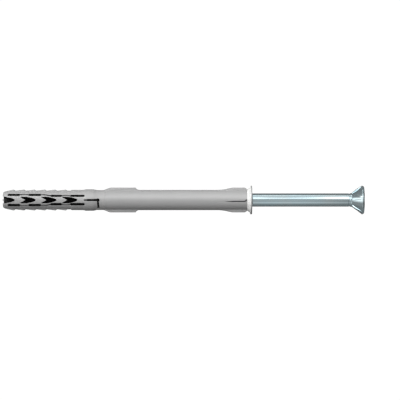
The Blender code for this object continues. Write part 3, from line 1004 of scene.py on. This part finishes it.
@dataclass
class SideSlots:
    """The blind slots on both sides of the arrow strip, and the shallow seams that join them.

    Widths and bows are given for the lower side first. The offsets run from the tip on.
    """

    sizes: PlugSizes
    count: int = 4
    first: float = 2.35 * MM
    length: float = 6.15 * MM
    last_length: float = 7.1 * MM
    narrow_delay: float = 0.6 * MM
    widths: tuple[float, float] = (1.15 * MM, 1.03 * MM)
    floor: float = 1.6 * MM
    offsets: tuple[float, ...] = (2.43 * MM, 2.43 * MM, 1.99 * MM, 1.99 * MM)
    seam_width: float = 0.55 * MM
    seam_depth: float = 0.5 * MM
    seam_bows: tuple[float, float] = (0.35 * MM, 0.22 * MM)
    seam_steps: int = 10

    def span(self, number: int) -> tuple[float, float]:
        """Where one slot begins and ends along the axis.

        Args:
            number: The slot's number from the tip.

        Returns:
            Its first and last place.
        """
        first = self.first + number * self.sizes.arrow_pitch
        last = first + (self.last_length if number == self.count - 1 else self.length)
        narrower = number > 0 and self.offsets[number] < self.offsets[number - 1]
        return (first + self.narrow_delay if narrower else first), last

    def seam(self, number: int, side: float) -> Outline:
        """Outline of the bowed seam from one slot to the next.

        Args:
            number: The number of the slot that it starts from.
            side: 1 for the upper side, -1 for the lower one.

        Returns:
            The points of the outline.
        """
        bow, overlap = self.seam_bows[side > 0.0], self.widths[side > 0.0] / 4.0
        start = self.span(number)[1] - overlap
        end = self.span(number + 1)[0] + overlap
        upper, lower = [], []
        for step in range(self.seam_steps + 1):
            share = step / self.seam_steps
            blend = share * share * (3.0 - 2.0 * share)
            line = self.offsets[number] + (self.offsets[number + 1] - self.offsets[number]) * blend
            middle = side * (line + bow * math.sin(HALF_TURN * share))
            place = start + (end - start) * share
            upper.append((place, middle + self.seam_width / 2.0))
            lower.append((place, middle - self.seam_width / 2.0))
        return upper + lower[::-1]

    def build(self) -> list[Item]:
        """Builds the cutters of the slots and of the seams.

        Returns:
            The two cutters.
        """
        top = self.sizes.shaft_radius + CUT_MARGIN
        slots, seams = [], []
        for number in range(self.count):
            for side in (-1.0, 1.0):
                outline = long_slot(*self.span(number), side * self.offsets[number], self.widths[side > 0.0])
                slots.append(Bench.prism("side_slot", outline, Plane.FRONT, self.floor, top))
                if number < self.count - 1:
                    crown = max(self.offsets[number : number + 2]) + max(self.seam_bows)
                    floor = math.sqrt(self.sizes.zone_radius**2 - crown**2) - self.seam_depth
                    seams.append(Bench.prism("seam", self.seam(number, side), Plane.FRONT, floor, top))
        cutters = []
        for name, front in (("side_slot_cutter", slots), ("seam_cutter", seams)):
            back = [Bench.copy(item, turn=HALF_TURN) for item in front]
            cutters.append(Bench.gather(name, front + back))
        return cutters


@dataclass
class BentSlit:
    """The slit along the bulge, which turns off round the neck behind it."""

    sizes: PlugSizes
    start: float = 39.04 * MM
    across: float = 45.84 * MM
    entry_width: float = 0.7 * MM
    entry_length: float = 1.4 * MM
    width: float = 1.0 * MM
    across_width: float = 1.0 * MM
    knob_radius: float = 0.8 * MM
    knob_steps: int = 16
    sweep: float = math.radians(58.0)
    slant: float = 0.25 * MM
    steps: int = 24
    floor: float = 0.3 * MM

    def build(self) -> list[Item]:
        """Builds the cutters of the two legs.

        Returns:
            The two cutters.
        """
        reach = self.sizes.shaft_radius + 2.0 * CUT_MARGIN
        entry, half = self.entry_width / 2.0, self.width / 2.0
        widening = self.start + self.entry_length
        lean = math.degrees(math.asin(half / self.knob_radius))
        outline = arc((self.start + entry, 0.0), entry, 90, 270)
        outline += [(widening, -entry), (widening + entry, -half)]
        outline += arc((self.across, 0.0), self.knob_radius, lean - 180, 180 - lean, self.knob_steps)
        outline += [(widening + entry, half), (widening, entry)]
        along = Bench.prism("slit_cutter", outline, Plane.FRONT, self.floor, reach)
        low, high = self.across - self.across_width / 2.0, self.across + self.across_width / 2.0
        inner = self.sizes.core_bore_radius - self.floor
        section = [(low, inner), (high, inner), (high, reach), (low, reach)]
        across = Bench.swept("slit_across_cutter", section, self.sweep, self.slant, self.steps)
        return [along, across]


@dataclass
class RimGroove:
    """The narrow groove that runs up to the rim just below the middle line, with its hooked end."""

    sizes: PlugSizes
    end: float = 117.6 * MM
    length: float = 11.4 * MM
    taper: float = 4.4 * MM
    width: float = 0.5 * MM
    depth: float = 0.7 * MM
    drop: float = 0.65 * MM
    hook: float = 1.2 * MM
    hook_rise: float = 0.75 * MM
    taper_soft: float = 2.0 * MM
    bend_softs: tuple[float, float] = (0.8 * MM, 0.5 * MM)
    end_soft: float = 0.1 * MM

    def build(self) -> Item:
        """Builds the groove's cutter and its twin on the back.

        Returns:
            The two cutters as one object.
        """
        half = self.width / 2.0
        start, bend = self.end - self.length, self.end - self.hook
        low, high = -self.drop - half, -self.drop + half
        corners = [
            Corner(start, -self.drop),
            Corner(start + self.taper, low, self.taper_soft),
            Corner(bend + half, low, self.bend_softs[0]),
            Corner(self.end, low + self.hook_rise, self.end_soft),
            Corner(self.end - half, high + self.hook_rise, self.end_soft),
            Corner(bend, high, self.bend_softs[1]),
            Corner(start + self.taper, high, self.taper_soft),
        ]
        outline = softened(corners)
        radius = self.sizes.shaft_radius
        front = Bench.prism("rim_groove", outline, Plane.FRONT, radius - self.depth, radius + CUT_MARGIN)
        return Bench.gather("rim_groove_cutter", [front, Bench.copy(front, turn=HALF_TURN)])


@dataclass
class Sleeve:
    """The moulded sleeve, from its tip to its rim."""

    sizes: PlugSizes
    nose_radius: float = 3.6 * MM
    nose_shoulder: float = 0.9 * MM
    nose_drop: float = 0.38 * MM
    nose_length: float = 3.4 * MM
    nose_softs: Softs = (0.35 * MM, 0.8 * MM, 6.0 * MM)
    ring_setback: float = 0.5 * MM
    ring_length: float = 1.2 * MM
    ring_wall: float = 0.45 * MM
    ring_soft: float = 0.15 * MM
    step_soft: float = 0.4 * MM
    barbed_end: float = 32.575 * MM
    bulge_start: float = 38.6 * MM
    bulge_end: float = 45.1 * MM
    bulge_ramp: float = 1.2 * MM
    bulge_step: float = 1.5 * MM
    bulge_height: float = 0.3 * MM
    neck_depth: float = 0.08 * MM
    neck_ramp: float = 0.6 * MM
    neck_softs: Softs = (0.8 * MM, 0.8 * MM, 0.6 * MM, 1.0 * MM)
    parting_height: float = 0.06 * MM
    parting_length: float = 0.5 * MM
    parting_softs: Softs = (0.3 * MM, 0.3 * MM, 0.5 * MM)
    rim_thickness: float = 1.0 * MM
    rim_radius: float = 6.9 * MM
    rim_soft: float = 0.25 * MM
    flare_length: float = 1.4 * MM
    flare_foot: float = 0.33 * MM
    flare_height: float = 1.25 * MM
    flare_power: float = 1.5
    flare_soft: float = 0.1 * MM
    flare_steps: int = 8
    bore_soft: float = 1.0 * MM
    mouth_radius: float = 5.6 * MM
    mouth_soft: float = 0.8 * MM
    finish: GreyNylon = field(default_factory=GreyNylon)

    def skin(self) -> Outline:
        """The outer outline, filled down to the axis.

        Returns:
            The points of the outline.
        """
        zone, shaft = self.sizes.zone_radius, self.sizes.shaft_radius
        neck, bulge = shaft - self.neck_depth, shaft + self.bulge_height
        zone_end, part = self.sizes.zone_length, self.parting_length
        end = self.sizes.sleeve_length
        rim = end - self.rim_thickness
        foot = rim - self.flare_length
        rise = self.flare_height - self.flare_foot
        tip_soft, shoulder_soft, nose_soft = self.nose_softs
        corners = [
            Corner(0.0, 0.0),
            Corner(0.0, self.nose_radius, tip_soft),
            Corner(self.nose_shoulder, zone - self.nose_drop, shoulder_soft),
            Corner(self.nose_length, zone, nose_soft),
            Corner(self.barbed_end, zone, self.step_soft),
            Corner(self.barbed_end + (shaft - zone), shaft, self.step_soft),
            Corner(self.bulge_start, shaft, self.step_soft),
            Corner(self.bulge_start + self.bulge_ramp, bulge, self.neck_softs[0]),
            Corner(self.bulge_end - self.bulge_step, bulge, self.neck_softs[1]),
            Corner(self.bulge_end, neck, self.neck_softs[2]),
            Corner(zone_end - self.neck_ramp, neck, self.neck_softs[3]),
            Corner(zone_end, shaft + self.parting_height, self.parting_softs[0]),
            Corner(zone_end + part, shaft - self.parting_height, self.parting_softs[1]),
            Corner(zone_end + 2.0 * part, shaft, self.parting_softs[2]),
            Corner(foot, shaft, self.flare_soft),
        ]
        for step in range(self.flare_steps + 1):
            share = step / self.flare_steps
            height = shaft + self.flare_foot + rise * share**self.flare_power
            corners.append(Corner(foot + self.flare_length * share, height))
        corners += [Corner(place, self.rim_radius, self.rim_soft) for place in (rim, end)]
        return softened(corners + [Corner(end, 0.0)])

    def bore(self) -> Outline:
        """The bore: narrow in the expansion zone, then the seat of the screw's point, the shaft and the mouth.

        Returns:
            The points of the outline.
        """
        sizes = self.sizes
        core, wide = sizes.core_bore_radius, sizes.thread_radius + sizes.clearance
        slope = (sizes.thread_radius - sizes.point_radius) / sizes.point_length
        seat = (core - sizes.clearance - sizes.point_radius) / slope
        mouth = self.mouth_radius - wide
        end = sizes.sleeve_length
        corners = [
            Corner(-CUT_MARGIN, 0.0),
            Corner(-CUT_MARGIN, core),
            Corner(sizes.zone_length + seat, core, self.bore_soft),
            Corner(sizes.zone_length + sizes.point_length, wide, self.bore_soft),
            Corner(end - mouth, wide, self.mouth_soft),
            Corner(end, self.mouth_radius),
            Corner(end + CUT_MARGIN, self.mouth_radius + CUT_MARGIN),
            Corner(end + CUT_MARGIN, 0.0),
        ]
        return softened(corners)

    def nose_ring(self) -> Outline:
        """The ring at the nose that holds the limbs and the first tongue together.

        Returns:
            The points of the outline.
        """
        radius = self.sizes.core_bore_radius + self.ring_wall
        first, last = self.ring_setback, self.ring_setback + self.ring_length
        corners = [
            Corner(first, 0.0),
            Corner(first, radius, self.ring_soft),
            Corner(last, radius),
            Corner(last, 0.0),
        ]
        return softened(corners)

    def build(self) -> Item:
        """Builds the sleeve's mesh.

        Returns:
            The sleeve in its place.
        """
        sleeve = Bench.turned("nylon_sleeve", self.skin())
        Bench.combine(sleeve, Ridges(self.sizes).build(), Way.JOIN)
        Bench.combine(sleeve, ArrowWindows(self.sizes).build(), Way.CUT)
        for cutter in SideSlots(self.sizes).build() + BentSlit(self.sizes).build():
            Bench.combine(sleeve, cutter, Way.CUT)
        Bench.combine(sleeve, RimGroove(self.sizes).build(), Way.CUT)
        Bench.combine(sleeve, Bench.turned("nose_ring", self.nose_ring()), Way.JOIN)
        Bench.combine(sleeve, Bench.turned("bore_cutter", self.bore()), Way.CUT)
        return Bench.finish(sleeve, -self.sizes.middle)

    def dress(self, piece: Item, effects: Effects) -> None:
        """Gives the sleeve its finish and ties it to its CAD solid.

        Args:
            piece: The sleeve's mesh.
            effects: The shared effects.
        """
        piece.data.materials.clear()
        piece.data.materials.append(self.finish.make(effects, -self.sizes.middle))
        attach(piece, "root")
        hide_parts("plug_sleeve")


@dataclass
class Thread:
    """The coarse right-hand thread on the front half of the screw."""

    sizes: PlugSizes
    core_radius: float = 2.5 * MM
    pitch: float = 4.4 * MM
    root_width: float = 1.7 * MM
    crest_width: float = 0.35 * MM
    length: float = 62.0 * MM
    run_out: float = 3.0 * MM
    lead: float = 1.2 * MM
    sink: float = 0.15 * MM
    least_crest: float = 0.02 * MM
    steps: int = 60

    def build(self) -> Item:
        """Winds the ridge of the thread and trims it to the taper at the point and to the run-out.

        Returns:
            The ridge, placed by the face of the screw's head.
        """
        start = -self.sizes.screw_length
        low, high = self.core_radius - self.sink, self.sizes.thread_radius + self.sink
        slope = (self.root_width - self.crest_width) / (self.sizes.thread_radius - self.core_radius) / 2.0
        root = self.root_width / 2.0 + slope * self.sink
        crest = max(self.crest_width / 2.0 - slope * self.sink, self.least_crest)
        section = [(start - root, low), (start - crest, high), (start + crest, high), (start + root, low)]
        rounds = math.ceil((self.length + self.pitch) / self.pitch)
        ridge = Bench.swept("thread", section, FULL_TURN, self.pitch, self.steps, rounds)
        end = start + self.length
        point = (self.sizes.thread_radius - self.sizes.point_radius) / self.sizes.point_length
        envelope = [
            (start + self.lead, 0.0),
            (start + self.lead, self.sizes.point_radius + point * self.lead),
            (start + self.sizes.point_length, self.sizes.thread_radius),
            (end - self.run_out, self.sizes.thread_radius),
            (end, self.core_radius - self.sink / 2.0),
            (end, 0.0),
        ]
        Bench.combine(ridge, Bench.turned("thread_envelope", envelope), Way.TRIM)
        return ridge


@dataclass
class Recess:
    """The six-lobe drive recess in the face of the head."""

    radius: float = 3.375 * MM
    lobes: int = 6
    lobe_depth: float = 0.95 * MM
    tip_radius: float = 0.55 * MM
    depth: float = 3.4 * MM
    chamfer: float = 0.18 * MM
    mouth_depth: float = 0.5 * MM
    floor_cone: float = 1.0 * MM
    arc_steps: int = 12

    @property
    def waist(self) -> float:
        """The radius between two lobes."""
        return self.radius - self.lobe_depth

    def outline(self) -> Outline:
        """Round tips, joined by hollow flanks that meet them smoothly.

        Returns:
            The points of the outline.
        """
        centre = self.radius - self.tip_radius
        half_step = HALF_TURN / self.lobes
        spread = centre * math.cos(half_step)
        flank = (centre**2 + self.waist**2 - 2.0 * spread * self.waist - self.tip_radius**2) / (
            2.0 * (self.tip_radius - self.waist + spread)
        )
        flank_x = (self.waist + flank) * math.cos(half_step)
        flank_y = (self.waist + flank) * math.sin(half_step)
        lean = math.degrees(math.atan2(flank_y, flank_x - centre))
        meet = math.degrees(half_step)
        tip = arc((centre, 0.0), self.tip_radius, -lean, lean, self.arc_steps)
        hollow = arc((flank_x, flank_y), flank, lean + 180.0, 2.0 * meet - lean + 180.0, self.arc_steps)
        points: Outline = []
        for number in range(self.lobes):
            turn = 2.0 * half_step * number + QUARTER_TURN
            for x, y in tip + hollow[1:-1]:
                points.append((x * math.cos(turn) - y * math.sin(turn), x * math.sin(turn) + y * math.cos(turn)))
        return points

    def build(self) -> list[Item]:
        """Builds the cutters of the socket, of its chamfered mouth and of its coned floor.

        Returns:
            The cutters in the order in which they are used.
        """
        socket = Bench.prism("recess_cutter", self.outline(), Plane.END, -self.depth, CUT_MARGIN)
        mouth = self.radius + self.chamfer
        slope = (mouth - self.waist) / self.mouth_depth
        funnel = [(CUT_MARGIN, 0.0), (CUT_MARGIN, mouth + slope * CUT_MARGIN), (-mouth / slope, 0.0)]
        inner = self.waist - self.chamfer
        top = CUT_MARGIN / 2.0 - self.depth
        cone = [(top, 0.0), (top, inner), (-self.depth, inner), (-self.depth - self.floor_cone, 0.0)]
        return [socket, Bench.turned("recess_mouth_cutter", funnel), Bench.turned("recess_floor_cutter", cone)]


@dataclass
class Screw:
    """The countersunk screw, from the face of its head to its point.

    The edge of the face is a chamfer, given along the axis and inwards. The crown of a rib is its highest corner,
    given by its distance from the face and from the axis.
    """

    sizes: PlugSizes
    shank_radius: float = 3.2 * MM
    head_radius: float = 6.93 * MM
    face_edge: tuple[float, float] = (0.75 * MM, 0.4 * MM)
    face_soft: float = 0.12 * MM
    land: float = 1.0 * MM
    underhead: float = 5.9 * MM
    hollow: float = 1.1
    hollow_steps: int = 18
    collar_radius: float = 3.3 * MM
    collar_length: float = 0.75 * MM
    groove_width: float = 0.6 * MM
    groove_depth: float = 0.12 * MM
    groove_ramps: tuple[float, float] = (0.1 * MM, 0.2 * MM)
    land_soft: float = 0.05 * MM
    collar_softs: Softs = (0.1 * MM, 0.1 * MM, 0.1 * MM, 0.2 * MM)
    shoulder: float = 0.9 * MM
    shoulder_soft: float = 0.5 * MM
    point_softs: tuple[float, float] = (3.0 * MM, 0.2 * MM)
    rib_count: int = 5
    rib_width: float = 1.7 * MM
    rib_phase: float = math.radians(-10.0)
    rib_sink: float = 0.2 * MM
    rib_crown: tuple[float, float] = (4.1 * MM, 4.93 * MM)
    rib_edge: float = 0.45 * MM
    rib_edge_angle: float = 30.0
    rib_head_drop: float = 0.04 * MM
    rib_collar_rise: float = 0.05 * MM
    thread: Thread = field(default_factory=lambda: Thread(PlugSizes()))
    recess: Recess = field(default_factory=Recess)
    finish: ZincSteel = field(default_factory=ZincSteel)

    def blank(self) -> Outline:
        """Outline of head, shank and core.

        Returns:
            The points of the outline.
        """
        drop = self.head_radius - self.collar_radius
        run = self.underhead - self.land
        cone = []
        for step in range(self.hollow_steps + 1):
            share = step / self.hollow_steps
            radius = self.collar_radius + drop * (1.0 - share) ** self.hollow
            cone.append(Corner(-self.land - run * share, radius, 0.0 if step else self.land_soft))
        tip = -self.sizes.screw_length
        end = tip + self.thread.length
        core = self.thread.core_radius
        collar = -self.underhead - self.collar_length
        floor = self.shank_radius - self.groove_depth
        groove_end = collar - self.groove_width
        corners = [
            Corner(0.0, 0.0),
            Corner(0.0, self.head_radius - self.face_edge[1], self.face_soft),
            Corner(-self.face_edge[0], self.head_radius, self.face_soft / 2.0),
            *cone,
            Corner(collar, self.collar_radius, self.collar_softs[0]),
            Corner(collar - self.groove_ramps[0], floor, self.collar_softs[1]),
            Corner(groove_end, floor, self.collar_softs[2]),
            Corner(groove_end - self.groove_ramps[1], self.shank_radius, self.collar_softs[3]),
            Corner(end + self.shoulder, self.shank_radius, self.shoulder_soft),
            Corner(end, core, self.shoulder_soft),
            Corner(tip + self.sizes.point_length, core, self.point_softs[0]),
            Corner(tip, self.sizes.point_radius, self.point_softs[1]),
            Corner(tip, 0.0),
        ]
        return softened(corners)

    def ribs(self) -> Item:
        """Builds the ribs under the head: one is modelled and copied round the cone.

        Returns:
            The ribs as one object.
        """
        foot = self.shank_radius - self.rib_sink
        outline = [
            (-self.underhead, foot),
            (-self.land, foot),
            (-self.land, self.head_radius - self.rib_head_drop),
            (-self.rib_crown[0], self.rib_crown[1]),
            (-self.underhead, self.collar_radius + self.rib_collar_rise),
        ]
        half = self.rib_width / 2.0
        rib = Bench.prism("head_rib", outline, Plane.FRONT, -half, half)
        Bench.soften(rib, self.rib_edge, self.rib_edge_angle)
        turns = [QUARTER_TURN + self.rib_phase + FULL_TURN * n / self.rib_count for n in range(self.rib_count)]
        copies = [Bench.copy(rib, turn=turn) for turn in turns]
        bpy.data.objects.remove(rib, do_unlink=True)
        return Bench.gather("head_ribs", copies)

    def build(self) -> Item:
        """Builds the screw's mesh.

        Returns:
            The screw in its place.
        """
        screw = Bench.turned("zinc_plated_screw", self.blank())
        Bench.combine(screw, self.ribs(), Way.JOIN)
        for cutter in self.recess.build():
            Bench.combine(screw, cutter, Way.CUT)
        Bench.combine(screw, self.thread.build(), Way.JOIN)
        return Bench.finish(screw, self.sizes.middle)

    def dress(self, piece: Item, effects: Effects) -> None:
        """Gives the screw its finish and ties it to its CAD solid.

        Args:
            piece: The screw's mesh.
            effects: The shared effects.
        """
        piece.data.materials.clear()
        piece.data.materials.append(self.finish.make(effects, self.sizes.middle))
        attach(piece, "root")
        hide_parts("countersunk_screw")


@dataclass
class Studio:
    """The pale floor, the soft light around the plug and the camera above it."""

    floor_size: float = 6.0
    floor_drop: float = 0.02 * MM
    floor_tone: float = 0.2
    floor_roughness: float = 0.9
    backdrop: float = 1.05
    lens: float = 200.0
    sensor: float = 36.0
    distance: float = 1.072
    aside: float = 7.93 * MM
    clip_end: float = 20.0
    side_spread: float = 0.3
    glow_first: float = -90.0
    glow_step: float = 10.0
    overhead: Glow = (
        *(0.22, 0.35, 0.39, 0.54, 0.75, 0.70, 0.48, 0.51, 0.64, 0.40),
        *(0.38, 1.06, 1.47, 1.08, 0.64, 0.54, 0.85, 1.32, 1.60),
    )
    ends: Glow = (0.06,) * 10 + (0.55, 2.9, 5.7, 7.1, 5.8, 2.7, 0.5, 0.06, 0.06)
    low_start: float = 0.5
    low_full: float = 0.75
    low_peak: float = 0.95
    low_rest: float = 0.2
    low_core: float = 0.08
    low_reach: float = 0.42
    low_shift: float = 0.08
    tip_share: float = 0.7

    def floor(self, lowest: float) -> None:
        """Lays the floor under the plug. It reads white to the camera and stays dim in reflections.

        Args:
            lowest: The height of the plug's lowest point.
        """
        Bench.take()
        bpy.ops.mesh.primitive_plane_add(size=self.floor_size, location=(0.0, 0.0, lowest - self.floor_drop))
        floor = bpy.context.active_object
        floor.name = "floor"
        material, nodes, shader = Finish.start("pale_floor")
        shader.inputs["Base Color"].default_value = paint(*[self.floor_tone] * 3)
        shader.inputs["Roughness"].default_value = self.floor_roughness
        white = nodes.add("ShaderNodeEmission", {"Color": paint(1.0, 1.0, 1.0), "Strength": self.backdrop})
        seen = nodes.add("ShaderNodeLightPath").outputs["Is Camera Ray"]
        mixed = nodes.add("ShaderNodeMixShader", {0: seen, 1: shader.outputs[0], 2: white.outputs[0]})
        output = next(node for node in nodes.tree.nodes if node.type == "OUTPUT_MATERIAL")
        nodes.tree.links.new(mixed.outputs[0], output.inputs["Surface"])
        floor.data.materials.append(material)
        floor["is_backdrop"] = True

    def glow(self, nodes: Nodes, share: Socket, strengths: Glow) -> Socket:
        """Adds a ramp that gives the strength of the light by its angle about the axis.

        Args:
            nodes: The nodes of the world.
            share: The angle from straight up towards +Y as a share of a turn, a half being straight up.
            strengths: The strengths of the light at even steps, from level at -Y to level at +Y.

        Returns:
            The strength's output.
        """
        most = max(strengths)
        ramp = nodes.add("ShaderNodeValToRGB", {0: share})
        ramp.color_ramp.interpolation = "LINEAR"
        stops = ramp.color_ramp.elements
        for number, strength in enumerate(strengths):
            place = (self.glow_first + number * self.glow_step) / 360.0 + 0.5
            stop = stops[number] if number < 2 else stops.new(place)
            stop.position = place
            stop.color = paint(*[strength / most] * 3)
        return nodes.math("MULTIPLY", ramp.outputs[0], most)

    def light(self) -> None:
        """Sets up the light that surrounds the plug.

        A row of soft lights hangs above it, stronger ones stand beyond its ends, more so beyond the tip, and a low
        glow lies along the axis.
        """
        world = bpy.data.worlds.new("soft_studio")
        bpy.context.scene.world = world
        world.use_nodes = True
        nodes = Nodes(world.node_tree)
        world.node_tree.nodes.clear()
        away = nodes.add("ShaderNodeTexCoord").outputs["Generated"]
        parts = nodes.add("ShaderNodeSeparateXYZ", {0: away}).outputs
        angle = nodes.math("ARCTAN2", parts[1], parts[2])
        share = nodes.math("ADD", nodes.math("DIVIDE", angle, FULL_TURN), 0.5)
        lean = nodes.math("DIVIDE", parts[0], self.side_spread)
        near = nodes.math("EXPONENT", nodes.math("MULTIPLY", nodes.math("MULTIPLY", lean, lean), -1.0))
        middle = nodes.math("MULTIPLY", self.glow(nodes, share, self.overhead), near)
        outer = nodes.math("ABSOLUTE", parts[0])
        low = nodes.ramp(outer, self.low_start, self.low_full)
        off_axis = nodes.math("ABSOLUTE", nodes.math("SUBTRACT", parts[1], self.low_shift))
        along = nodes.ramp(off_axis, self.low_core, self.low_reach, self.low_peak, self.low_rest)
        beside = nodes.add("ShaderNodeMix", {0: low, 2: self.glow(nodes, share, self.ends), 3: along}).outputs[0]
        tipward = nodes.math("SUBTRACT", 1.0, nodes.math("MULTIPLY", parts[0], self.tip_share))
        sides = nodes.math("MULTIPLY", nodes.math("MULTIPLY", beside, tipward), nodes.math("SUBTRACT", 1.0, near))
        strength = nodes.math("ADD", middle, sides)
        soft = nodes.add("ShaderNodeBackground", {0: paint(1.0, 1.0, 1.0), 1: strength})
        white = nodes.add("ShaderNodeBackground", {0: paint(1.0, 1.0, 1.0), 1: self.backdrop})
        seen = nodes.add("ShaderNodeLightPath").outputs["Is Camera Ray"]
        mixed = nodes.add("ShaderNodeMixShader", {0: seen, 1: soft.outputs[0], 2: white.outputs[0]})
        nodes.add("ShaderNodeOutputWorld", {0: mixed.outputs[0]})

    def camera(self) -> None:
        """Places the camera straight above the plug, a little towards the head."""
        bpy.ops.object.camera_add(location=(self.aside, 0.0, self.distance), rotation=(0.0, 0.0, 0.0))
        camera = bpy.context.active_object
        camera.name = "camera"
        camera.data.lens = self.lens
        camera.data.sensor_width = self.sensor
        camera.data.clip_end = self.clip_end
        bpy.context.scene.camera = camera
        bpy.context.scene.view_settings.view_transform = "Standard"


def main() -> None:
    """Builds the plug and its studio around the CAD frame, and reports each piece."""
    logging.basicConfig(level=logging.INFO, format="%(name)s: %(message)s")
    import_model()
    cad_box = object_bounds()
    sizes = PlugSizes()
    effects = Effects()
    for part in (Sleeve(sizes), Screw(sizes)):
        piece = part.build()
        part.dress(piece, effects)
        LOG.info("%s: %d faces", piece.name, len(piece.data.polygons))
    studio = Studio()
    studio.floor(cad_box[0].z)
    studio.light()
    studio.camera()


if __name__ == "__main__":
    main()
